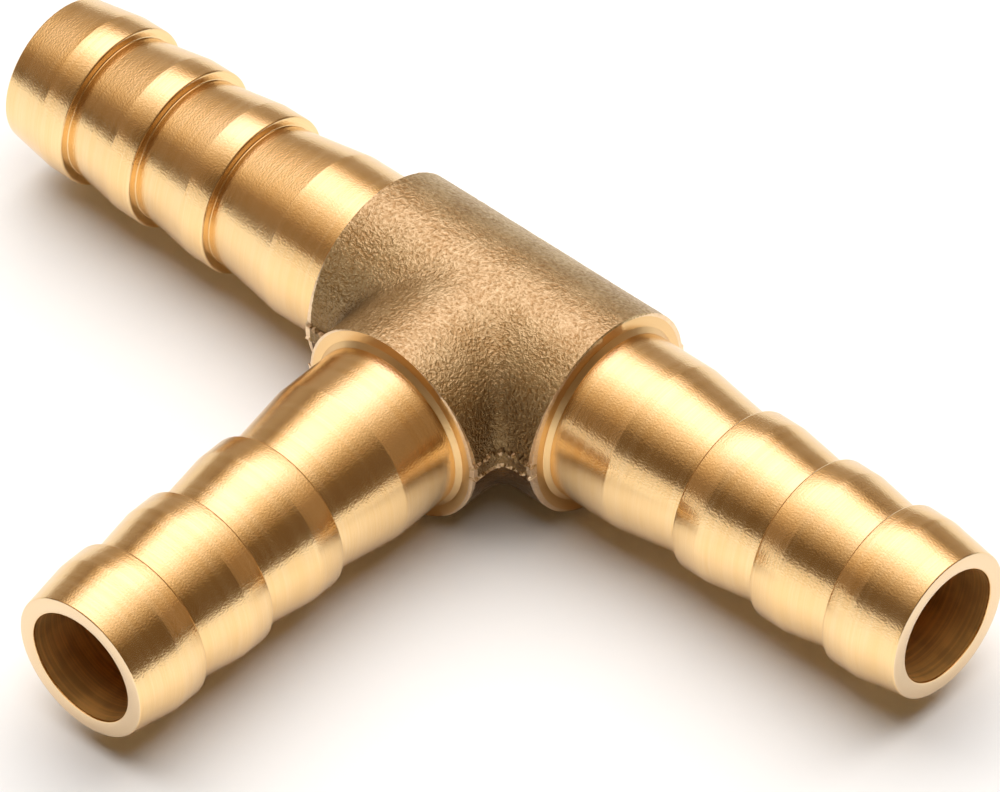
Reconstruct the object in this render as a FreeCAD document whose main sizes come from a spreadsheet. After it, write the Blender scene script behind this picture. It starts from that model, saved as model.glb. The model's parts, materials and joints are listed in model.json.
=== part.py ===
# Barbed hose tee: a brass forging with three machined hose arms, all in one piece.
# Millimetres. The bore axes cross at the origin: the run lies along X, the branch
# points to -Y, and +Z is up.
import FreeCAD, Part
import math
import os
import Sketcher

NODE = "tee_body"

# Driving dimensions: alias, value, what it measures.
SIZES = [
    ("crest_radius", 5.2, "outside of each barb's land, which sets the hose size"),
    ("barb_height", 0.6, "how far each barb's back edge stands above the metal behind it"),
    ("tip_drop", 0.5, "how much smaller the end face is than the crest, in radius"),
    ("wall_behind_barb", 0.95, "metal between the bore and the neck behind each barb"),
    ("land_length", 1.8, "cylindrical land in front of each barb's back edge"),
    ("lead_length", 5.0, "end face to the first barb's back edge"),
    ("second_barb", 5.5, "first barb's back edge to the second's"),
    ("third_barb", 5.9, "second barb's back edge to the third's"),
    ("root_taper", 5.1, "third barb's back edge to the plain collar"),
    ("collar_length", 4.4, "plain collar between the last taper and the shoulder"),
    ("collar_rise", 0.15, "how much larger the collar is than the crest, in radius"),
    ("shoulder_height", 1.15, "machined shoulder, from the collar up to the forged skin"),
    ("shoulder_reach", 2.4, "from the run's forged skin out to the branch's shoulder"),
    ("neck_set_in", 0.1, "how much slimmer the branch neck is than the run, in radius"),
    ("crotch_blend", 2.0, "forged blend where the neck leaves the run"),
    ("trim_line_width", 0.8, "height of the trimmed parting line up the forging's side"),
    ("trim_line_proud", 0.1, "how far the trimmed parting line stands out of the skin"),
    ("step_bevel", 0.25, "bevel that the tool leaves in the corner behind each barb"),
    ("shoulder_bevel", 0.4, "bevel in the corner between the collar and the shoulder"),
    ("mouth_break", 0.15, "broken edge at the bore's mouth"),
    ("tip_break", 0.1, "broken edge round the end face"),
]

# Radii that follow from the driving dimensions.
COLLAR = "(Sizes.crest_radius + Sizes.collar_rise)"
RUN = f"({COLLAR} + Sizes.shoulder_height)"
NECK = f"({RUN} - Sizes.neck_set_in)"
BEHIND_BARB = "(Sizes.crest_radius - Sizes.barb_height)"
BORE = f"({BEHIND_BARB} - Sizes.wall_behind_barb)"
TIP = "(Sizes.crest_radius - Sizes.tip_drop)"

# Distances from the crossing of the axes out along each arm.
SHOULDER = f"({RUN} + Sizes.shoulder_reach)"
TAPER_FOOT = f"({SHOULDER} + Sizes.collar_length)"
THIRD_EDGE = f"({TAPER_FOOT} + Sizes.root_taper)"
SECOND_EDGE = f"({THIRD_EDGE} + Sizes.third_barb)"
FIRST_EDGE = f"({SECOND_EDGE} + Sizes.second_barb)"
END_FACE = f"({FIRST_EDGE} + Sizes.lead_length)"
BARB_EDGES = [THIRD_EDGE, SECOND_EDGE, FIRST_EDGE]

# Blend and bevel sizes, each kept within the wall that it runs along.
CROTCH_FIT = "min(Sizes.crotch_blend; 0.9 * Sizes.shoulder_reach)"
STEP_FIT = "min(Sizes.step_bevel; 0.8 * Sizes.barb_height)"
SHOULDER_FIT = "min(Sizes.shoulder_bevel; 0.8 * (Sizes.shoulder_height - Sizes.neck_set_in))"

ARMS = 3
ARMS_SPREAD = 180.0
FULL_TURN = 360.0
TOUCH = 1e-4


def fill_sheet(doc):
    """Write the driving dimensions into the document's sheet, one row each."""
    sheet = doc.addObject("Spreadsheet::Sheet", "Sizes")
    for row, (alias, value, meaning) in enumerate(SIZES, start=1):
        sheet.set(f"A{row}", alias.replace("_", " "))
        sheet.set(f"B{row}", str(value))
        sheet.set(f"C{row}", meaning)
        sheet.setAlias(f"B{row}", alias)
    doc.recompute()
    return sheet


def worked_out(sheet, formula):
    """The number that a formula on the sheet's aliases comes to."""
    return float(sheet.evalExpression(formula.replace("Sizes.", "")))


def origin_feature(body, role):
    """The body's own plane or axis with this role, such as XY_Plane."""
    return next(part for part in body.Origin.OriginFeatures if part.Role == role)


def new_sketch(body, name, plane):
    """An empty sketch on one of the body's origin planes."""
    sketch = body.newObject("Sketcher::SketchObject", name)
    sketch.AttachmentSupport = [(origin_feature(body, plane), "")]
    sketch.MapMode = "FlatFace"
    return sketch


def circle_sketch(body, sheet, name, plane, radius_formula):
    """A sketch of one circle about the origin."""
    sketch = new_sketch(body, name, plane)
    radius = worked_out(sheet, radius_formula)
    circle = Part.Circle(FreeCAD.Vector(0, 0, 0), FreeCAD.Vector(0, 0, 1), radius)
    index = sketch.addGeometry(circle, False)
    sketch.addConstraint(Sketcher.Constraint("Coincident", index, 3, -1, 1))
    row = sketch.addConstraint(Sketcher.Constraint("Radius", index, radius))
    sketch.setExpression(f"Constraints[{row}]", radius_formula)
    return sketch


def quarter_arc(start, end):
    """The quarter circle from start to end that is hollow towards their outer corner."""
    centre = FreeCAD.Vector(max(start.x, end.x, key=abs), min(start.y, end.y), 0)
    inner = start + end - centre
    middle = centre + (inner - centre) / math.sqrt(2)
    return Part.Arc(start, middle, end)


def pin_corner(sketch, index, place, kind, distance, formula):
    """Hold one corner at its distance from the sketch's origin along one axis."""
    if formula is None:
        axis = -1 if kind == "DistanceY" else -2
        sketch.addConstraint(Sketcher.Constraint("PointOnObject", index, place, axis))
        return
    row = sketch.addConstraint(Sketcher.Constraint(kind, -1, 1, index, place, distance))
    sketch.setExpression(f"Constraints[{row}]", formula)


def outline_sketch(body, sheet, name, plane, corners):
    """A sketch of one closed outline. Each corner is (x formula, y formula, bend formula):
    None for x or y is zero, and a bend is the radius of the quarter arc that leaves it."""
    sketch = new_sketch(body, name, plane)
    flat = [[0.0 if f is None else worked_out(sheet, f) for f in c[:2]] for c in corners]
    points = [FreeCAD.Vector(x, y, 0) for x, y in flat]
    ends = []
    for index, corner in enumerate(corners):
        start, end = points[index], points[(index + 1) % len(points)]
        edge = Part.LineSegment(start, end) if corner[2] is None else quarter_arc(start, end)
        sketch.addGeometry(edge, False)
        forwards = sketch.getPoint(index, 1).isEqual(start, TOUCH)
        ends.append((1, 2) if forwards else (2, 1))
    for index, (x_formula, y_formula, bend) in enumerate(corners):
        before = index - 1 if index else len(corners) - 1
        place = ends[index][0]
        joined = Sketcher.Constraint("Coincident", before, ends[before][1], index, place)
        sketch.addConstraint(joined)
        pin_corner(sketch, index, place, "DistanceX", points[index].x, x_formula)
        pin_corner(sketch, index, place, "DistanceY", points[index].y, y_formula)
        if bend is not None:
            radius = worked_out(sheet, bend)
            row = sketch.addConstraint(Sketcher.Constraint("Radius", index, radius))
            sketch.setExpression(f"Constraints[{row}]", bend)
    return sketch


def edges_where(shape, wanted):
    """Names of the shape's edges for which wanted(edge) is true."""
    return [f"Edge{n}" for n, edge in enumerate(shape.Edges, start=1) if wanted(edge)]


def arm_rings(feature, sheet, radius_formula, distance_formulas):
    """Names of the full circles of this radius, this far out along each arm."""
    radius = worked_out(sheet, radius_formula)
    distances = [worked_out(sheet, formula) for formula in distance_formulas]

    def is_ring(edge):
        if not isinstance(edge.Curve, Part.Circle) or abs(edge.Curve.Radius - radius) > TOUCH:
            return False
        out = edge.Curve.Center.Length
        return any(abs(out - distance) < TOUCH for distance in distances)

    return edges_where(feature.Shape, is_ring)


def dress_up(doc, body, kind, name, size_name, size_formula, edges):
    """A fillet or chamfer on the named edges of the body's last feature."""
    base = body.Tip
    feature = body.newObject(f"PartDesign::{kind}", name)
    feature.Base = (base, edges)
    feature.Refine = base.Refine
    feature.setExpression(size_name, size_formula)
    doc.recompute()
    return feature


def forge_run(doc, body, sheet):
    """The run's barrel, from shoulder to shoulder."""
    section = circle_sketch(body, sheet, "run_section", "YZ_Plane", RUN)
    barrel = body.newObject("PartDesign::Pad", "run_barrel")
    barrel.Profile = section
    barrel.Midplane = True
    barrel.setExpression("Length", f"2 * {SHOULDER}")
    doc.recompute()


def forge_neck(doc, body, sheet):
    """The branch's neck, from the run's middle out to the branch's shoulder."""
    section = circle_sketch(body, sheet, "neck_section", "XZ_Plane", NECK)
    neck = body.newObject("PartDesign::Pad", "branch_neck")
    neck.Profile = section
    neck.setExpression("Length", SHOULDER)
    doc.recompute()


def blend_crotch(doc, body):
    """The hollow blend round the saddle-shaped edge where the neck leaves the run."""
    def is_saddle(edge):
        faces = body.Tip.Shape.ancestorsOfType(edge, Part.Face)
        round_faces = [face for face in faces if isinstance(face.Surface, Part.Cylinder)]
        return len(round_faces) == 2 and not round_faces[0].isSame(round_faces[1])

    saddle = edges_where(body.Tip.Shape, is_saddle)
    dress_up(doc, body, "Fillet", "crotch_blend", "Radius", CROTCH_FIT, saddle)


def raise_trim_line(doc, body, sheet):
    """The thin band left at mid height where the forging's flash was trimmed away."""
    side = f"({RUN} + Sizes.trim_line_proud)"
    neck_side = f"({NECK} + Sizes.trim_line_proud)"
    bend = f"({CROTCH_FIT} - Sizes.trim_line_proud)"
    bend_out = f"({neck_side} + {bend})"
    bend_down = f"({side} + {bend})"
    corners = [
        (f"-{SHOULDER}", side, None),
        (SHOULDER, side, None),
        (SHOULDER, f"-{side}", None),
        (bend_out, f"-{side}", bend),
        (neck_side, f"-{bend_down}", None),
        (neck_side, f"-{SHOULDER}", None),
        (f"-{neck_side}", f"-{SHOULDER}", None),
        (f"-{neck_side}", f"-{bend_down}", bend),
        (f"-{bend_out}", f"-{side}", None),
        (f"-{SHOULDER}", f"-{side}", None),
    ]
    outline = outline_sketch(body, sheet, "trim_line_outline", "XY_Plane", corners)
    band = body.newObject("PartDesign::Pad", "trim_line")
    band.Profile = outline
    band.Midplane = True
    band.setExpression("Length", "Sizes.trim_line_width")
    doc.recompute()


def arm_corners():
    """Half section of one arm, from the crossing of the axes out to the end face."""
    corners = [
        (None, None, None),
        (None, COLLAR, None),
        (TAPER_FOOT, COLLAR, None),
    ]
    for edge in BARB_EDGES:
        corners.append((edge, BEHIND_BARB, None))
        corners.append((edge, "Sizes.crest_radius", None))
        corners.append((f"({edge} + Sizes.land_length)", "Sizes.crest_radius", None))
    corners.append((END_FACE, TIP, None))
    corners.append((END_FACE, None, None))
    return corners


def repeat_on_arms(doc, body, feature, name):
    """The same feature on all three arms, from the +X arm round by -Y to the -X arm."""
    pattern = body.newObject("PartDesign::PolarPattern", name)
    pattern.Originals = [feature]
    pattern.Axis = (origin_feature(body, "Z_Axis"), [""])
    pattern.Angle = ARMS_SPREAD
    pattern.Occurrences = ARMS
    pattern.Reversed = True
    pattern.Refine = feature.Refine
    body.Tip = pattern
    doc.recompute()


def turn_arms(doc, body, sheet):
    """The barbed arm turned about X, and repeated for the branch and the far end."""
    profile = outline_sketch(body, sheet, "arm_profile", "XY_Plane", arm_corners())
    arm = body.newObject("PartDesign::Revolution", "barbed_arm")
    arm.Profile = profile
    arm.ReferenceAxis = (profile, ["H_Axis"])
    arm.Angle = FULL_TURN
    doc.recompute()
    repeat_on_arms(doc, body, arm, "three_arms")


def bevel_corners(doc, body, sheet):
    """The small bevels behind each barb and at each shoulder's foot."""
    steps = arm_rings(body.Tip, sheet, BEHIND_BARB, BARB_EDGES)
    dress_up(doc, body, "Chamfer", "step_bevels", "Size", STEP_FIT, steps)
    feet = arm_rings(body.Tip, sheet, COLLAR, [SHOULDER])
    dress_up(doc, body, "Chamfer", "shoulder_bevels", "Size", SHOULDER_FIT, feet)


def drill_bores(doc, body, sheet):
    """One waterway drilled in from each open end to the crossing of the axes. The two
    drillings along the run meet there, and each keeps its own wall."""
    hole = circle_sketch(body, sheet, "bore_section", "YZ_Plane", BORE)
    bore = body.newObject("PartDesign::Pocket", "arm_bore")
    bore.Profile = hole
    bore.Type = "ThroughAll"
    bore.Reversed = True
    bore.Refine = False
    doc.recompute()
    repeat_on_arms(doc, body, bore, "three_bores")


def break_edges(doc, body, sheet):
    """The small broken edges inside and outside each end face."""
    mouths = arm_rings(body.Tip, sheet, BORE, [END_FACE])
    dress_up(doc, body, "Chamfer", "mouth_breaks", "Size", "Sizes.mouth_break", mouths)
    tips = arm_rings(body.Tip, sheet, TIP, [END_FACE])
    dress_up(doc, body, "Chamfer", "tip_breaks", "Size", "Sizes.tip_break", tips)


def build_tee(doc, sheet):
    """The whole tee as one body."""
    body = doc.addObject("PartDesign::Body", NODE)
    body.Label = NODE
    body.Placement = FreeCAD.Placement()
    forge_run(doc, body, sheet)
    forge_neck(doc, body, sheet)
    blend_crotch(doc, body)
    raise_trim_line(doc, body, sheet)
    turn_arms(doc, body, sheet)
    bevel_corners(doc, body, sheet)
    drill_bores(doc, body, sheet)
    break_edges(doc, body, sheet)
    return body


def check_model(doc, body):
    """Stop if any object failed, any cut took nothing away, or the tee isn't one solid."""
    for thing in doc.Objects:
        if "Invalid" in thing.State or "Error" in thing.State:
            raise RuntimeError(f"{thing.Name} failed: {thing.State}")
    for pocket in doc.findObjects("PartDesign::Pocket"):
        if pocket.Shape.Volume >= pocket.BaseFeature.Shape.Volume:
            raise RuntimeError(f"{pocket.Name} cuts nothing")
    if body.Shape.isNull() or not body.Shape.isValid() or len(body.Shape.Solids) != 1:
        raise RuntimeError("the tee isn't one valid solid")


def main():
    doc = FreeCAD.newDocument("barbed_hose_tee")
    sheet = fill_sheet(doc)
    body = build_tee(doc, sheet)
    doc.recompute()
    check_model(doc, body)
    os.makedirs("parts", exist_ok=True)
    body.Shape.exportStep(os.path.join("parts", f"{body.Label}.step"))
    box = body.Shape.BoundBox
    print(f"{body.Label}: {box.XLength:.2f} x {box.YLength:.2f} x {box.ZLength:.2f} mm")
    print(f"volume {body.Shape.Volume:.1f} mm3, {len(body.Shape.Faces)} faces")


main()
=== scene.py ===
import json
import math

import bmesh
import bpy
from bpy.props import FloatProperty, FloatVectorProperty, PointerProperty
from mathutils import Matrix, Vector, noise


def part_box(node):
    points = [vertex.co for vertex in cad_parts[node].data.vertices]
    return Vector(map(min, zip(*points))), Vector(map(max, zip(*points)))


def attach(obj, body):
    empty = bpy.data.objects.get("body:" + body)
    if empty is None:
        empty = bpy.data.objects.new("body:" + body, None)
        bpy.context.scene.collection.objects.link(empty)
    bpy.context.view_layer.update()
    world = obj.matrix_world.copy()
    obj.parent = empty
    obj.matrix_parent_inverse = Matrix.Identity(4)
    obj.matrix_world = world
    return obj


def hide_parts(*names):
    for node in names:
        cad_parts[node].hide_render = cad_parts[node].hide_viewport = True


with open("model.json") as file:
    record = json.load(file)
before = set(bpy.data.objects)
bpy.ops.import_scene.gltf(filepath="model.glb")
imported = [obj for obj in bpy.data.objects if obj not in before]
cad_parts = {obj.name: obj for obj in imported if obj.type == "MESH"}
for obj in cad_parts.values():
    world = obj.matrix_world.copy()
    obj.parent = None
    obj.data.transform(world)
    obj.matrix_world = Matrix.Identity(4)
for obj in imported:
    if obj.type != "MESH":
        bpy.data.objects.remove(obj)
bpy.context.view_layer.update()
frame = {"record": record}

bl_info = {
    "name": "Barbed hose tee",
    "version": (1, 0, 0),
    "blender": (4, 5, 0),
    "location": "View3D > Sidebar > Hose tee",
    "description": "A forged brass tee with three turned and barbed hose arms, and its studio",
    "category": "Add Mesh",
}

NODE = "tee_body"
BODY = "root"
PIECE = "hose_tee"

# The frame: the run lies along X, the branch points to -Y, and all lengths are in metres.
MM = 0.001
LOWEST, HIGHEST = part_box(NODE)
MOUNTS = {mount["name"]: mount["dims"] for mount in frame["record"]["mounts"]}
CREST_RADIUS = MOUNTS["right_barb"]["r_mm"] * MM
LAND_LENGTH = MOUNTS["right_barb"]["length_mm"] * MM
BORE_RADIUS = MOUNTS["run_bore"]["r_mm"] * MM
END_FACE = HIGHEST.x
SKIN_RADIUS = HIGHEST.z
TRIM_PROUD = HIGHEST.y - HIGHEST.z

# Where the right arm, the left arm and the branch point.
ARMS = (Vector((1, 0, 0)), Vector((-1, 0, 0)), Vector((0, -1, 0)))
# Sides of each turned circle.
SEGMENTS = 160
# Points closer together than this are one point.
TOUCH = 2e-6
# How near to a cut's plane a point has to be to take that cut's finish.
FACED = 0.03 * MM
# The blank is this much longer than the forging on each arm, and is then faced back.
BLANK_SPARE = 3 * MM
# Faces that meet at a smaller angle are shaded as one, and the shoulder's slope stays crisp.
SMOOTH_ANGLE = math.radians(40)
# The softbox is brightest in its middle: each part's side in metres, brightness and colour.
BOX_PARTS = ((1.30, 0.25, (1.0, 0.72, 0.42)), (1.0, 0.35, (1.0, 0.86, 0.66)),
             (0.76, 0.52, (1.0, 0.94, 0.95)), (0.54, 0.72, (0.92, 0.80, 1.0)),
             (0.34, 0.80, (0.85, 0.72, 1.0)))
# The parts hang this far apart, because lamps in one plane hide each other.
BOX_STEP = 3 * MM
# What stands round the tee: each one's name, middle above the floor, length, height, brightness
# and colour.
CARDS = (("front_strip", (-0.08, -0.40, 0.065), 0.50, 0.13, 0.90, (1.0, 0.98, 0.95)),
         ("back_card", (-0.60, 0.60, 0.22), 1.20, 0.44, 0.28, (1.0, 0.85, 0.70)),
         ("left_card", (-0.49, -0.34, 0.50), 0.62, 0.70, 0.15, (1.0, 0.68, 0.42)),
         ("right_card", (0.43, 0.42, 0.38), 0.42, 0.60, 0.18, (1.0, 0.66, 0.38)))


def length(name, description, default):
    """A size in metres, shown in the scene's own unit."""
    return FloatProperty(name=name, description=description, default=default,
                         min=0.0, unit="LENGTH", precision=5)


def colour(name, description, default):
    """A colour that a user may change."""
    return FloatVectorProperty(name=name, description=description, default=default,
                               min=0.0, max=1.0, size=3, subtype="COLOR")


def share(name, description, default):
    """A plain number from 0 to 1."""
    return FloatProperty(name=name, description=description, default=default,
                         min=0.0, max=1.0, subtype="FACTOR")


class TeeSizes(bpy.types.PropertyGroup):
    """Sizes of the turned arms and of the forging."""
    crest: length("Crest radius", "Outside of each barb's land", CREST_RADIUS)
    bore: length("Bore radius", "Inside of the drilled waterway", BORE_RADIUS)
    land: length("Land length", "Cylindrical land in front of each barb's back edge", LAND_LENGTH)
    end: length("End face", "Crossing of the axes to each end face", END_FACE)
    skin: length("Skin radius", "Outside of the forged run", SKIN_RADIUS)
    barb_height: length("Barb height", "Back edge above the metal behind it", 0.6 * MM)
    tip_drop: length("Tip drop", "How much smaller the end face is than the crest", 0.5 * MM)
    lead: length("Lead", "End face to the first barb's back edge", 5.0 * MM)
    second_barb: length("Second barb", "First barb's back edge to the second's", 5.5 * MM)
    third_barb: length("Third barb", "Second barb's back edge to the third's", 5.9 * MM)
    root_taper: length("Root taper", "Third barb's back edge to the collar", 5.1 * MM)
    collar_length: length("Collar length", "Plain collar up to the shoulder", 4.4 * MM)
    collar_rise: length("Collar rise", "How much larger the collar is than the crest", 0.15 * MM)
    neck_set_in: length("Neck set in", "How much slimmer the neck is than the run", 0.1 * MM)
    step_fillet: length("Step fillet", "Tool's round in the corner behind each barb", 0.1 * MM)
    shoulder_corner: length("Shoulder corner", "Slope left by the tool at the shoulder's foot",
                            0.28 * MM)
    crest_break: length("Crest break", "Rounding of each barb's back edge", 0.14 * MM)
    slope_break: length("Slope break", "Softening where a cone meets a land", 0.03 * MM)
    tip_break: length("Tip break", "Broken edge round the end face", 0.1 * MM)
    mouth_break: length("Mouth break", "Broken edge at the bore's mouth", 0.15 * MM)
    rim_break: length("Rim break", "Broken edge round the shoulder's rim", 0.12 * MM)
    rim_side: length("Rim side", "Extra broken off the rim at the parting line", 0.22 * MM)
    crotch_blend: length("Crotch blend", "Forged hollow where the neck leaves the run", 2.0 * MM)
    skin_grid: length("Skin grid", "Spacing of the forged skin's mesh", 0.12 * MM)
    skin_spare: length("Skin spare", "Metal added before the blend and the lumps", 0.005 * MM)
    lump_size: length("Lump size", "Spacing of the forging's low lumps", 1.5 * MM)
    lump_depth: length("Lump depth", "Height of the forging's low lumps", 0.045 * MM)
    wrinkle_size: length("Wrinkle size", "Spacing of the scaled skin's wrinkles", 0.32 * MM)
    wrinkle_depth: length("Wrinkle depth", "Height of the skin's wrinkles", 0.04 * MM)
    trim_width: length("Trim line width", "Height of the trimmed parting line", 1.1 * MM)
    trim_proud: length("Trim line proud", "How far it stands out of the skin", TRIM_PROUD)
    burr: length("Burr", "Torn edges of the trim line in the crotches", 0.12 * MM)
    rim_cut: length("Rim cut", "Skin cut bright behind the rim at the parting line", 0.36 * MM)


class TeeFinish(bpy.types.PropertyGroup):
    """Colours and roughness of the brass."""
    turned: colour("Turned brass", "Freshly cut brass", (0.90, 0.66, 0.36))
    turned_deep: colour("Turned brass, deep", "Warmer streaks in the cut brass", (0.85, 0.58, 0.27))
    skin: colour("Forged skin", "High spots of the forged skin", (0.70, 0.56, 0.32))
    skin_deep: colour("Forged skin, deep", "Oxide left in the skin's hollows", (0.37, 0.225, 0.083))
    # Painted shade: this dark brass darkens the skin towards the crotches, most of all under the
    # parting line.
    scale: colour("Forging scale", "Dark scale left in the crotches", (0.13, 0.065, 0.018))
    trim: colour("Trimmed flash", "Torn metal along the parting line", (0.92, 0.71, 0.48))
    faced: colour("Faced brass", "Paler cut of the end faces", (0.76, 0.60, 0.41))
    # Painted shade: this darker brass is put on the shoulder's face and the slope at its foot.
    corner: colour("Shoulder's corner", "Deeper brass of the shoulder's face and foot",
                   (0.72, 0.49, 0.23))
    bore: colour("Drilled bore", "Brown film inside the waterway", (0.80, 0.44, 0.13))
    turned_rough: share("Turned roughness", "Gloss of the cut brass", 0.22)
    skin_rough: share("Skin roughness", "Gloss of the forged skin", 0.38)


class TeeStudio(bpy.types.PropertyGroup):
    """The camera, the floor and the lights."""
    azimuth: FloatProperty(name="Azimuth", description="Camera's turn about the tee",
                           default=math.radians(43.58), subtype="ANGLE")
    elevation: FloatProperty(name="Elevation", description="Camera's height above the horizon",
                             default=math.radians(45.04), subtype="ANGLE")
    roll: FloatProperty(name="Roll", description="Camera's tilt about its own axis",
                        default=math.radians(-1.73), subtype="ANGLE")
    distance: length("Distance", "Camera to the point that it looks at", 0.7674)
    target: FloatVectorProperty(name="Target", description="Point that the camera looks at",
                                default=(0.00171, -0.00147, -0.00224), size=3, unit="LENGTH")
    lens: FloatProperty(name="Lens", description="Focal length in millimetres",
                        default=477.0, min=1.0)
    floor_size: length("Floor size", "Side of the square floor", 6.0)
    floor_colour: colour("Floor", "White paper under the tee", (0.90, 0.87, 0.84))
    box_height: length("Softbox height", "Softbox above the floor", 0.5)
    box_place: FloatVectorProperty(name="Softbox place", description="Its middle along X and Y",
                                   default=(-0.19, 0.22), size=2, unit="LENGTH")
    box_glow: FloatProperty(name="Softbox brightness", description="Brightness of the softbox, as "
                            "the brass mirrors it", default=0.9, min=0.0)
    key_place: FloatVectorProperty(name="Key lamp's place", description="Middle above the floor",
                                   default=(-0.62, 0.76, 1.5), size=3, unit="LENGTH")
    key_side: length("Key lamp's side", "Side of the square lamp that lights the paper", 2.9)
    key_glow: FloatProperty(name="Key lamp's brightness", description="Brightness of the lamp",
                            default=3.3, min=0.0)
    cards_glow: FloatProperty(name="Cards' brightness", description="Brightness of the cards that "
                              "stand round the tee", default=1.0, min=0.0)
    room_colour: colour("Room", "Dim warm room round the set", (0.15, 0.095, 0.05))
    room_strength: FloatProperty(name="Room strength", description="Brightness of the room",
                                 default=1.0, min=0.0)


# ---------------------------------------------------------------- modelling helpers

def only(*pieces):
    """Select these objects and no other, and make the first one active."""
    bpy.ops.object.select_all(action="DESELECT")
    for piece in pieces:
        piece.select_set(True)
    bpy.context.view_layer.objects.active = pieces[0]


def placed(name):
    """The primitive just added, named, with its place put into its mesh."""
    piece = bpy.context.object
    piece.name = piece.data.name = name
    bpy.ops.object.transform_apply(location=True, rotation=True, scale=True)
    return piece


def pick(piece, kind, wanted):
    """In edit mode, select only the vertices, edges or faces that wanted() is true of."""
    bpy.ops.mesh.select_mode(type=kind)
    bpy.ops.mesh.select_all(action="DESELECT")
    form = bmesh.from_edit_mesh(piece.data)
    items = {"VERT": form.verts, "EDGE": form.edges, "FACE": form.faces}[kind]
    found = [item for item in items if wanted(item)]
    if not found:
        raise RuntimeError(f"{piece.name}: found no {kind.lower()} to work on")
    for item in found:
        item.select_set(True)
    form.select_flush_mode()
    bmesh.update_edit_mesh(piece.data)


def finish_modifier(piece, kind, **settings):
    """Add a modifier with these settings and apply it."""
    only(piece)
    modifier = piece.modifiers.new(kind.lower(), kind)
    for name, value in settings.items():
        setattr(modifier, name, value)
    bpy.ops.object.modifier_apply(modifier=modifier.name)


def along_arm(point):
    """Distance from the crossing of the axes out along the arm that the point is on."""
    return max(abs(point.x), -point.y)


def from_axis(point):
    """Distance of a point of an arm from that arm's own axis."""
    return math.sqrt(max(point.length_squared - along_arm(point) ** 2, 0.0))


# ---------------------------------------------------------------- the turned arm

def arm_rings(sizes):
    """Half section of one arm as (distance along, radius), from the shoulder's rim out to
    the end face and back through the bore to the crossing of the axes."""
    behind = sizes.crest - sizes.barb_height
    collar = sizes.crest + sizes.collar_rise
    first = sizes.end - sizes.lead
    second = first - sizes.second_barb
    third = second - sizes.third_barb
    taper_foot = third - sizes.root_taper
    shoulder = taper_foot - sizes.collar_length
    rings = [(shoulder, sizes.skin - sizes.rim_break), (shoulder, collar), (taper_foot, collar)]
    for edge in (third, second, first):
        rings += [(edge, behind), (edge, sizes.crest), (edge + sizes.land, sizes.crest)]
    rings += [(sizes.end, sizes.crest - sizes.tip_drop), (sizes.end, sizes.bore), (0.0, sizes.bore)]
    return rings


def pick_rings(piece, rings):
    """Select the full circles at these places of a turned arm."""
    def on_ring(edge):
        return any(
            all(abs(v.co.x - along) < TOUCH and abs(math.hypot(v.co.y, v.co.z) - radius) < TOUCH
                for v in edge.verts)
            for along, radius in rings)
    pick(piece, "EDGE", on_ring)


def round_rings(piece, rings, width, segments):
    """Bevel the full circles at these places of a turned arm."""
    pick_rings(piece, rings)
    bpy.ops.mesh.bevel(offset=width, offset_type="OFFSET", segments=segments, profile=0.5,
                       affect="EDGES")


def break_rim_sides(piece, rim, depth):
    """Take more off the shoulder's rim at both sides, where the parting line ends."""
    along, radius = rim
    pick_rings(piece, [rim])
    bpy.ops.transform.resize(value=(1, 1 - depth / radius, 1), center_override=(along, 0, 0))


def turn_arm(sizes):
    """The right arm, turned from ring to ring, with its corners rounded as the tool leaves
    them and the bore drilled in to the crossing of the axes."""
    rings = arm_rings(sizes)
    bpy.ops.object.select_all(action="DESELECT")
    along, radius = rings[0]
    bpy.ops.mesh.primitive_circle_add(vertices=SEGMENTS, radius=radius, location=(along, 0, 0),
                                      rotation=(0, math.pi / 2, 0))
    arm = placed("right_arm")
    bpy.ops.object.mode_set(mode="EDIT")
    bpy.ops.mesh.select_all(action="SELECT")
    for next_along, next_radius in rings[1:]:
        step = (next_along - along, 0, 0)
        bpy.ops.mesh.extrude_region_move(TRANSFORM_OT_translate={"value": step})
        ratio = next_radius / radius
        bpy.ops.transform.resize(value=(1, ratio, ratio), center_override=(next_along, 0, 0))
        along, radius = next_along, next_radius
    shoulder_foot, taper_foot = rings[1:3]
    barbs = rings[3:-3]
    tip, mouth = rings[-3:-1]
    round_rings(arm, [shoulder_foot], sizes.shoulder_corner, 1)
    round_rings(arm, barbs[0::3], sizes.step_fillet, 4)
    round_rings(arm, barbs[1::3], sizes.crest_break, 3)
    round_rings(arm, [taper_foot] + barbs[2::3], sizes.slope_break, 2)
    round_rings(arm, [tip], sizes.tip_break, 3)
    round_rings(arm, [mouth], sizes.mouth_break, 2)
    break_rim_sides(arm, rings[0], sizes.rim_side)
    bpy.ops.mesh.select_all(action="SELECT")
    bpy.ops.mesh.normals_make_consistent(inside=False)
    bpy.ops.object.mode_set(mode="OBJECT")
    return arm


def copy_arm(arm, name, turn):
    """A copy of the right arm with its own mesh, turned about Z."""
    only(arm)
    bpy.ops.object.duplicate(linked=False)
    other = bpy.context.object
    other.name = other.data.name = name
    other.rotation_euler.z = turn
    bpy.ops.object.transform_apply(location=True, rotation=True, scale=True)
    return other


def mitre_bore(arm, normals):
    """Cut the bore back to the planes through the crossing where it meets the other bores.
    Each normal points to the side that goes."""
    only(arm)
    bpy.ops.object.mode_set(mode="EDIT")
    for normal in normals:
        bpy.ops.mesh.select_all(action="SELECT")
        bpy.ops.mesh.bisect(plane_co=(0, 0, 0), plane_no=normal, clear_outer=True)
    bpy.ops.object.mode_set(mode="OBJECT")


def turn_arms(sizes):
    """The three arms, each with its part of the bore."""
    right = turn_arm(sizes)
    left = copy_arm(right, "left_arm", math.pi)
    branch = copy_arm(right, "branch_arm", -math.pi / 2)
    mitre_bore(right, [(-1, -1, 0)])
    mitre_bore(left, [(1, -1, 0)])
    mitre_bore(branch, [(1, 1, 0), (-1, 1, 0)])
    return [right, left, branch]


# ---------------------------------------------------------------- the forging

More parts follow.
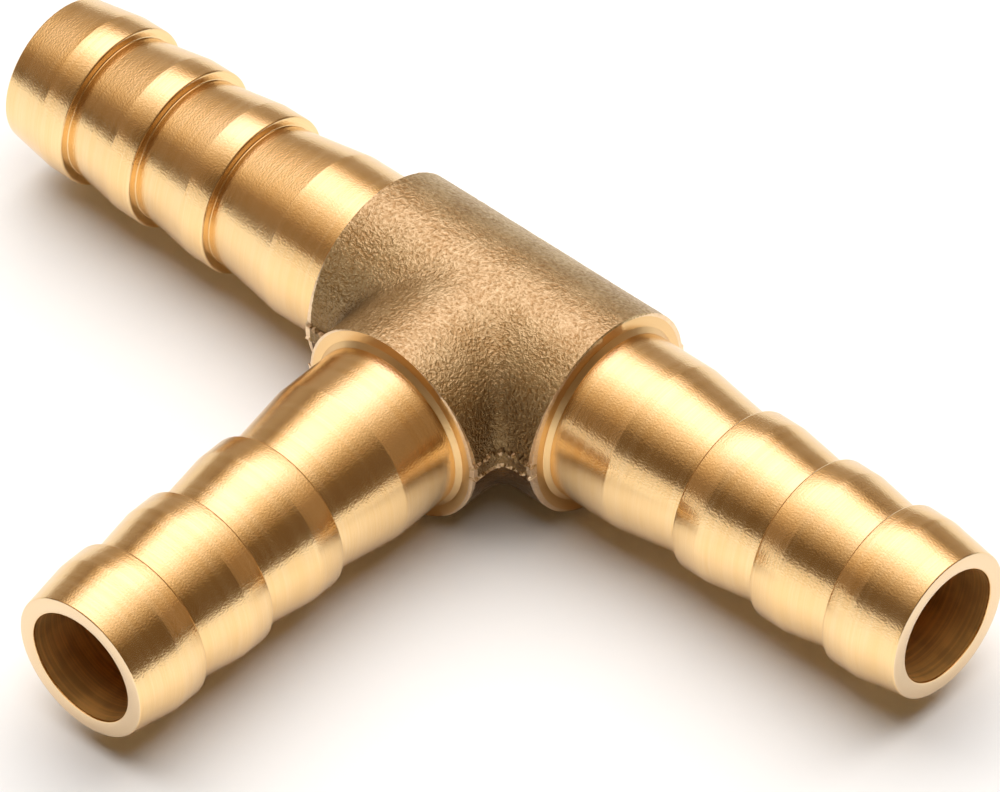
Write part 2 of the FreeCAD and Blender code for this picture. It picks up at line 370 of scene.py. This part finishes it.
def hammer(piece, name, grain, depth, **look):
    """Raise and sink a surface by a cloudy pattern of this grain and depth."""
    pattern = bpy.data.textures.new(name, "CLOUDS")
    pattern.noise_scale = grain
    for setting, value in look.items():
        setattr(pattern, setting, value)
    finish_modifier(piece, "DISPLACE", texture=pattern, strength=depth, mid_level=0.5,
                    texture_coords="LOCAL")


def forge_blank(sizes, shoulder):
    """The run and the neck in one skin, blended at the crotches and longer than needed."""
    reach = shoulder + BLANK_SPARE
    bpy.ops.object.select_all(action="DESELECT")
    bpy.ops.mesh.primitive_cylinder_add(vertices=SEGMENTS, radius=sizes.skin + sizes.skin_spare,
                                        depth=2 * reach, rotation=(0, math.pi / 2, 0))
    blank = placed("forging")
    bpy.ops.object.select_all(action="DESELECT")
    neck_radius = sizes.skin - sizes.neck_set_in + sizes.skin_spare
    bpy.ops.mesh.primitive_cylinder_add(vertices=SEGMENTS, radius=neck_radius, depth=reach,
                                        location=(0, -reach / 2, 0),
                                        rotation=(math.pi / 2, 0, 0))
    neck = placed("neck")
    finish_modifier(blank, "BOOLEAN", operation="UNION", object=neck, solver="EXACT")
    bpy.data.objects.remove(neck)
    finish_modifier(blank, "REMESH", mode="VOXEL", voxel_size=sizes.skin_grid)
    # A corner smoothed to this spread is hollowed as deep as the blend's quarter round.
    spread = sizes.crotch_blend * (math.sqrt(2) - 1) * math.sqrt(math.pi / 2)
    passes = round(4 * (spread / sizes.skin_grid) ** 2)
    finish_modifier(blank, "SMOOTH", factor=0.5, iterations=passes)
    return blank


def torn(place, sizes):
    """Whether a place of the skin is on the trim line's torn edges, in the crotches."""
    grain, width, spread = 0.25 * MM, 0.08 * MM, 0.25 * MM
    from_edge = abs(abs(place.z) - 0.45 * sizes.trim_width)
    return place.y < 0 and from_edge < width + spread * noise.noise(place / grain)


def raise_trim_line(blank, sizes):
    """The ragged band at mid height where the flash was trimmed away."""
    grain, spread = 0.45 * MM, 0.4

    def in_band(vertex):
        ragged = 1 + spread * noise.noise(vertex.co / grain)
        return abs(vertex.co.z) < sizes.trim_width / 2 * ragged
    only(blank)
    bpy.ops.object.mode_set(mode="EDIT")
    pick(blank, "VERT", in_band)
    bpy.ops.transform.shrink_fatten(value=sizes.trim_proud)
    pick(blank, "VERT", lambda vertex: torn(vertex.co, sizes))
    bpy.ops.transform.shrink_fatten(value=sizes.burr)
    bpy.ops.object.mode_set(mode="OBJECT")


def face_shoulders(blank, sizes, shoulder):
    """Cut the blank square at the foot of each shoulder's broken rim."""
    only(blank)
    bpy.ops.object.mode_set(mode="EDIT")
    for arm in ARMS:
        bpy.ops.mesh.select_all(action="SELECT")
        bpy.ops.mesh.bisect(plane_co=arm * (shoulder - sizes.rim_break), plane_no=arm,
                            clear_outer=True)
    bpy.ops.object.mode_set(mode="OBJECT")


def forge_body(sizes, shoulder):
    """The forged middle of the tee, open where the arms are turned."""
    blank = forge_blank(sizes, shoulder)
    hammer(blank, "forging_lumps", sizes.lump_size, sizes.lump_depth)
    hammer(blank, "skin_wrinkles", sizes.wrinkle_size, sizes.wrinkle_depth, noise_depth=2)
    raise_trim_line(blank, sizes)
    face_shoulders(blank, sizes, shoulder)
    return blank


# ---------------------------------------------------------------- the whole tee

def join_rims(tee, sizes, shoulder):
    """Close the broken rim of each shoulder, between the skin's edge and the turned face."""
    only(tee)
    bpy.ops.object.mode_set(mode="EDIT")
    for arm in ARMS:
        def on_rim(edge):
            near = all(shoulder - sizes.rim_break - TOUCH < v.co.dot(arm) < shoulder + TOUCH
                       for v in edge.verts)
            return edge.is_boundary and near
        pick(tee, "EDGE", on_rim)
        bpy.ops.mesh.bridge_edge_loops()
    bpy.ops.mesh.select_all(action="SELECT")
    bpy.ops.mesh.remove_doubles(threshold=TOUCH)
    bpy.ops.mesh.normals_make_consistent(inside=False)
    bpy.ops.object.mode_set(mode="OBJECT")


def check_closed(tee):
    """Stop if the tee's skin has an open or doubled edge anywhere."""
    form = bmesh.new()
    form.from_mesh(tee.data)
    faulty = sum(1 for edge in form.edges if not edge.is_manifold)
    volume = form.calc_volume(signed=True)
    form.free()
    print(f"{tee.name}: {len(tee.data.polygons)} faces, {faulty} faulty edges, "
          f"{volume / MM ** 3:.1f} mm3")
    if faulty or volume <= 0:
        raise RuntimeError(f"{tee.name} isn't one closed skin that faces outwards")


def dress(piece, materials, choose):
    """Give each face of the piece the material whose number choose(face) returns."""
    piece.data.materials.clear()
    for material in materials:
        piece.data.materials.append(material)
    for face in piece.data.polygons:
        face.material_index = choose(face)


# ---------------------------------------------------------------- materials

class Value:
    """A number that varies over a surface: an output socket that Python's operators work on,
    each adding its Math node."""

    def __init__(self, recipe, socket):
        self.recipe = recipe
        self.socket = socket

    def math(self, operation, *others):
        """A Math node on this value and others."""
        return self.recipe.math(operation, self, *others)

    def __add__(self, other):
        return self.math("ADD", other)

    def __sub__(self, other):
        return self.math("SUBTRACT", other)

    def __rsub__(self, other):
        return self.recipe.math("SUBTRACT", other, self)

    def __mul__(self, other):
        return self.math("MULTIPLY", other)

    def __truediv__(self, other):
        return self.math("DIVIDE", other)

    def __rtruediv__(self, other):
        return self.recipe.math("DIVIDE", other, self)

    def __abs__(self):
        return self.math("ABSOLUTE")

    def __neg__(self):
        return self * -1

    __radd__ = __add__
    __rmul__ = __mul__


class Recipe:
    """One material's nodes."""

    def __init__(self, name):
        self.material = bpy.data.materials.new(name)
        self.material.use_nodes = True
        self.tree = self.material.node_tree
        self.tree.nodes.clear()

    def node(self, kind, settings=None, values=None, output=0):
        """Add a node: its settings first, then its sockets' numbers or links."""
        made = self.tree.nodes.new(kind)
        for name, setting in (settings or {}).items():
            if name == "stops":
                self.fill_ramp(made.color_ramp, setting)
            else:
                setattr(made, name, setting)
        for name, value in (values or {}).items():
            if isinstance(value, Value):
                self.tree.links.new(value.socket, made.inputs[name])
            else:
                made.inputs[name].default_value = value
        return None if output is None else Value(self, made.outputs[output])

    def fill_ramp(self, ramp, stops):
        """Set a smooth ramp's two stops, each a (place, value)."""
        ramp.interpolation = "EASE"
        for element, (place, value) in zip(ramp.elements, stops):
            element.position = place
            element.color = (value, value, value, 1)

    def math(self, operation, *values):
        """A number worked out from others."""
        return self.node("ShaderNodeMath", {"operation": operation}, dict(enumerate(values)))

    def place(self):
        """The point's own coordinates on the piece, in metres."""
        return self.node("ShaderNodeTexCoord", output="Object")

    def split(self, vector):
        """The X, Y and Z of a vector."""
        parts = self.node("ShaderNodeSeparateXYZ", None, {0: vector}).socket.node
        return [Value(self, socket) for socket in parts.outputs]

    def vector(self, x, y, z):
        """A vector of three numbers."""
        return self.node("ShaderNodeCombineXYZ", None, {0: x, 1: y, 2: z})

    def vector_math(self, operation, *vectors):
        """A vector worked out from others, or a vector's length."""
        output = "Value" if operation == "LENGTH" else "Vector"
        return self.node("ShaderNodeVectorMath", {"operation": operation},
                         dict(enumerate(vectors)), output)

    def scaled(self, vector, factor):
        """A vector made longer or shorter."""
        return self.node("ShaderNodeVectorMath", {"operation": "SCALE"},
                         {"Vector": vector, "Scale": factor})

    def noise(self, vector, grain, detail=2.0, roughness=0.5, output="Fac"):
        """A cloudy pattern from 0 to 1, with its spots about this grain in metres apart."""
        return self.node("ShaderNodeTexNoise", {"normalize": True},
                         {"Vector": vector, "Scale": 1 / grain, "Detail": detail,
                          "Roughness": roughness}, output)

    def ramp(self, value, stops):
        """A value eased from one (place, value) stop to the next."""
        return self.node("ShaderNodeValToRGB", {"stops": stops}, {0: value}, "Color")

    def mix(self, factor, first, second):
        """A colour between two others."""
        made = self.tree.nodes.new("ShaderNodeMix")
        made.data_type = "RGBA"
        for place, value in ((0, factor), (6, first), (7, second)):
            if isinstance(value, Value):
                self.tree.links.new(value.socket, made.inputs[place])
            else:
                made.inputs[place].default_value = (*value, 1) if place else value
        return Value(self, made.outputs[2])

    def bump(self, height, depth):
        """A normal from a height of 0 to 1 that stands for this depth in metres."""
        return self.node("ShaderNodeBump", None, {"Height": height, "Distance": depth}, "Normal")

    def metal(self, **values):
        """Brass from these sockets, and the material that it makes."""
        sockets = {name.replace("_", " ").title(): value for name, value in values.items()}
        surface = self.node("ShaderNodeBsdfPrincipled", None, {"Metallic": 1.0, **sockets})
        return self.finished(surface)

    def finished(self, surface):
        """The material, with this shader as its surface."""
        self.node("ShaderNodeOutputMaterial", None, {"Surface": surface}, None)
        return self.material


def turning_place(recipe):
    """Where a point is on a turned arm: (distance along, radius), with a little of its true
    place mixed in, so that no tool mark runs evenly all the way round. The true place and the
    distance along come with it."""
    place = recipe.place()
    x, y, _ = recipe.split(place)
    along = abs(x).math("MAXIMUM", -y)
    reach = recipe.vector_math("LENGTH", place)
    radius = (reach * reach - along * along).math("MAXIMUM", 0.0).math("SQRT")
    section = recipe.vector(along, radius, 0.0)
    drift = recipe.scaled(place, 0.012)
    return recipe.vector_math("ADD", section, drift), place, along


def turned_brass(finish, sizes, shoulder):
    """Satin brass with fine rings left by the tool, paler where an end was faced, and
    darker at the shoulder's face and foot, where shade is painted.
    """
    recipe = Recipe("turned_brass")
    section, place, along = turning_place(recipe)
    fine = recipe.noise(section, 0.06 * MM, detail=1.0)
    broad = recipe.noise(section, 0.45 * MM)
    cloud = recipe.noise(place, 3.5 * MM, detail=3.0)
    streak = recipe.ramp(fine * 0.35 + broad * 0.35 + cloud * 0.3, [(0.35, 0.0), (0.68, 1.0)])
    cut = recipe.mix(streak, tuple(finish.turned_deep), tuple(finish.turned))
    faced = along.math("COMPARE", sizes.end, FACED)
    # Painted shade: the shoulder's face and its foot get the darker corner brass, and are rougher
    # too.
    corner = along.math("COMPARE", shoulder + sizes.shoulder_corner / 2,
                        sizes.shoulder_corner / 2 + FACED)
    pale = recipe.mix(faced * 0.8, cut, tuple(finish.faced))
    tint = recipe.mix(corner * 0.8, pale, tuple(finish.corner))
    rough = finish.turned_rough + corner * 0.12 + 0.10 * (broad - 0.5) + 0.08 * (cloud - 0.5)
    sand = recipe.noise(place, 0.13 * MM, detail=1.0)
    normal = recipe.bump(fine * 0.3 + broad * 0.2 + sand * 0.75, 0.014 * MM)
    return recipe.metal(base_color=tint, roughness=rough, normal=normal)


def forged_skin(finish, sizes, shoulder):
    """Matte brass with the fine crinkle of forging scale, deeper towards the crotches. It is
    darker in its hollows and has painted shade in the crotches, darkest under the parting
    line. It is cut bright behind the shoulders' rims, widest at the parting line."""
    recipe = Recipe("forged_skin")
    place = recipe.place()
    swirl = recipe.noise(place, 2.4 * MM, detail=1.0, output="Color")
    warped = recipe.vector_math("ADD", place, recipe.scaled(swirl, 0.9 * MM))
    crinkle = recipe.noise(warped, 0.21 * MM, roughness=0.55)
    sand = recipe.noise(place, 0.12 * MM, roughness=0.6)
    patches = recipe.noise(place, 3.0 * MM)
    height = crinkle * 0.65 + sand * 0.35
    worn = recipe.ramp(height * 0.75 + patches * 0.25, [(0.3, 0.0), (0.68, 1.0)])
    x, y, z = recipe.split(place)
    # Painted shade: towards the crotches the skin turns to the dark scale colour, more so under the
    # parting line.
    crotch = abs(x).math("MINIMUM", -y) / (10 * MM) + patches * 0.1
    scale = recipe.ramp(crotch, [(0.38, 0.0), (0.70, 1.0)])
    folded = recipe.ramp(crotch, [(0.1, 0.55), (0.45, 1.15)])
    under = recipe.ramp(z / (-2 * MM), [(0.2, 0.75), (0.5, 1.0)])
    clean = recipe.mix(worn, tuple(finish.skin_deep), tuple(finish.skin))
    shaded_skin = recipe.mix(scale * under, clean, tuple(finish.scale))
    from_rim = shoulder - abs(x).math("MAXIMUM", -y) - 0.12 * MM * sand
    width = sizes.rim_cut * (1 - abs(z) / (0.8 * sizes.skin))
    rim = from_rim.math("LESS_THAN", width)
    tint = recipe.mix(rim * (0.55 + 0.4 * sand), shaded_skin, tuple(finish.trim))
    rough = finish.skin_rough + 0.25 * (0.5 - crinkle) + 0.1 * (patches - 0.5)
    normal = recipe.bump(height * folded * (1 - 0.7 * rim), 0.14 * MM)
    return recipe.metal(base_color=tint, roughness=rough, normal=normal)


def trimmed_flash(finish):
    """Torn and smeared metal along the parting line."""
    recipe = Recipe("trimmed_flash")
    place = recipe.place()
    tear = recipe.noise(place, 0.22 * MM, detail=3.0, roughness=0.7)
    smear = recipe.noise(place, 1.1 * MM)
    shade = recipe.ramp(tear * 0.6 + smear * 0.4, [(0.38, 0.0), (0.6, 1.0)])
    tint = recipe.mix(shade * 0.7, tuple(finish.skin_deep), tuple(finish.trim))
    rough = 0.5 + 0.3 * (tear - 0.5)
    normal = recipe.bump(tear, 0.08 * MM)
    return recipe.metal(base_color=tint, roughness=rough, normal=normal)


def drilled_bore(finish):
    """The waterway's wall, with the drill's rings and a browner film in cloudy patches."""
    recipe = Recipe("drilled_bore")
    section, place, _ = turning_place(recipe)
    rings = recipe.noise(section, 0.16 * MM)
    cloud = recipe.noise(place, 2.2 * MM, detail=3.0)
    film = recipe.ramp(rings * 0.45 + cloud * 0.55, [(0.35, 0.0), (0.65, 1.0)])
    tint = recipe.mix(film, tuple(0.6 * part for part in finish.bore), tuple(finish.bore))
    rough = 0.38 + 0.15 * (cloud - 0.5)
    normal = recipe.bump(rings, 0.02 * MM)
    return recipe.metal(base_color=tint, metallic=0.55, roughness=rough, normal=normal)


def floor_paper(studio):
    """Matt white paper with a faint grain."""
    recipe = Recipe("floor_paper")
    grain = recipe.noise(recipe.place(), 0.8 * MM)
    pale = tuple(studio.floor_colour)
    tint = recipe.mix(grain, tuple(0.99 * part for part in pale), pale)
    surface = recipe.node("ShaderNodeBsdfDiffuse", None, {"Color": tint, "Roughness": 0.5})
    return recipe.finished(surface)


# ---------------------------------------------------------------- operators

class HOSETEE_OT_tee(bpy.types.Operator):
    """Forge the tee's body, turn and drill its three arms, and finish the brass"""
    bl_idname = "hosetee.tee"
    bl_label = "Make the tee"

    def execute(self, context):
        sizes = context.scene.tee_sizes
        finish = context.scene.tee_finish
        shoulder = arm_rings(sizes)[0][0]
        arms = turn_arms(sizes)
        body = forge_body(sizes, shoulder)
        turned, bore = turned_brass(finish, sizes, shoulder), drilled_bore(finish)
        skin, flash = forged_skin(finish, sizes, shoulder), trimmed_flash(finish)
        wall = sizes.bore + TOUCH
        for arm in arms:
            dress(arm, [turned, bore], lambda face: int(from_axis(face.center) < wall))
        dress(body, [skin, flash], lambda face: int(torn(face.center, sizes)))
        only(body, *arms)
        bpy.ops.object.join()
        body.name = body.data.name = PIECE
        join_rims(body, sizes, shoulder)
        check_closed(body)
        only(body)
        bpy.ops.object.shade_smooth_by_angle(angle=SMOOTH_ANGLE)
        finish_modifier(body, "WEIGHTED_NORMAL", keep_sharp=True)
        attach(body, BODY)
        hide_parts(NODE)
        return {"FINISHED"}


class HOSETEE_OT_studio(bpy.types.Operator):
    """Lay the floor, hang the softbox, stand the cards round the tee, and set up the camera"""
    bl_idname = "hosetee.studio"
    bl_label = "Set up the studio"

    def execute(self, context):
        studio = context.scene.tee_studio
        lay_floor(studio)
        hang_softbox(studio)
        stand_cards(studio)
        light_room(context.scene, studio)
        set_camera(context.scene, studio)
        context.scene.view_settings.view_transform = "Standard"
        return {"FINISHED"}


def lay_floor(studio):
    """The white floor that the tee lies on."""
    bpy.ops.object.select_all(action="DESELECT")
    bpy.ops.mesh.primitive_plane_add(size=studio.floor_size, location=(0, 0, LOWEST.z))
    floor = placed("floor")
    floor.data.materials.append(floor_paper(studio))


def add_lamp(name, place, long, high, glow, tint, on_paper=False):
    """An evenly bright rectangular lamp with this place above the floor. It either lights the
    paper or is mirrored in the brass."""
    lamp = bpy.data.lights.new(name, "AREA")
    lamp.shape = "RECTANGLE"
    lamp.size, lamp.size_y = long, high
    lamp.energy = math.pi * long * high * glow
    lamp.color = tint
    stand = bpy.data.objects.new(name, lamp)
    stand.location = Vector(place) + Vector((0, 0, LOWEST.z))
    stand.visible_diffuse, stand.visible_glossy = on_paper, not on_paper
    bpy.context.scene.collection.objects.link(stand)
    return stand


def hang_softbox(studio):
    """A square softbox that faces straight down, behind and to the left of the tee, brighter
    towards its middle, and the key lamp that casts the shadows."""
    for part, (side, glow, tint) in enumerate(BOX_PARTS):
        place = (*studio.box_place, studio.box_height - BOX_STEP * part)
        add_lamp(f"softbox_{part + 1}", place, side, side, studio.box_glow * glow, tint)
    side = studio.key_side
    add_lamp("key_lamp", studio.key_place, side, side, studio.key_glow, (1, 1, 1), on_paper=True)


def stand_cards(studio):
    """The upright cards round the tee, each facing it across the floor."""
    for name, place, long, high, glow, tint in CARDS:
        card = add_lamp(name, place, long, high, studio.cards_glow * glow, tint)
        card.rotation_euler = Vector((*place[:2], 0)).to_track_quat("Z", "Y").to_euler()


def light_room(scene, studio):
    """The dim room that the brass mirrors where there is neither softbox nor floor."""
    room = bpy.data.worlds.new("room")
    room.use_nodes = True
    backdrop = room.node_tree.nodes["Background"]
    backdrop.inputs["Color"].default_value = (*studio.room_colour, 1)
    backdrop.inputs["Strength"].default_value = studio.room_strength
    room.cycles_visibility.diffuse = False
    scene.world = room


def set_camera(scene, studio):
    """The camera, aimed at its target from its azimuth and elevation, then rolled."""
    lens = bpy.data.cameras.new("camera")
    lens.lens = studio.lens
    lens.clip_start, lens.clip_end = 0.01, 20.0
    camera = bpy.data.objects.new("camera", lens)
    level = math.cos(studio.elevation)
    back = Vector((math.sin(studio.azimuth) * level, -math.cos(studio.azimuth) * level,
                   math.sin(studio.elevation)))
    camera.location = Vector(studio.target) + back * studio.distance
    aim = (-back).to_track_quat("-Z", "Y").to_matrix()
    camera.rotation_euler = (aim @ Matrix.Rotation(studio.roll, 3, "Z")).to_euler()
    scene.collection.objects.link(camera)
    scene.camera = camera


class HOSETEE_PT_panel(bpy.types.Panel):
    """The hose tee's sizes, finish and studio"""
    bl_idname = "HOSETEE_PT_panel"
    bl_label = "Hose tee"
    bl_space_type = "VIEW_3D"
    bl_region_type = "UI"
    bl_category = "Hose tee"

    def draw(self, context):
        for group, operator in (("tee_sizes", "hosetee.tee"), ("tee_finish", None),
                                ("tee_studio", "hosetee.studio")):
            box = self.layout.box()
            settings = getattr(context.scene, group)
            for name in settings.__annotations__:
                box.prop(settings, name)
            if operator:
                box.operator(operator)


CLASSES = (TeeSizes, TeeFinish, TeeStudio, HOSETEE_OT_tee, HOSETEE_OT_studio, HOSETEE_PT_panel)


def register():
    """Make the add-on's classes and the scene's settings known."""
    for cls in CLASSES:
        bpy.utils.register_class(cls)
    bpy.types.Scene.tee_sizes = PointerProperty(type=TeeSizes)
    bpy.types.Scene.tee_finish = PointerProperty(type=TeeFinish)
    bpy.types.Scene.tee_studio = PointerProperty(type=TeeStudio)


def unregister():
    """Take the settings and the classes away again."""
    del bpy.types.Scene.tee_studio
    del bpy.types.Scene.tee_finish
    del bpy.types.Scene.tee_sizes
    for cls in reversed(CLASSES):
        bpy.utils.unregister_class(cls)


def main():
    """Make the tee and its studio."""
    register()
    bpy.ops.hosetee.tee()
    bpy.ops.hosetee.studio()


if __name__ == "__main__":
    main()
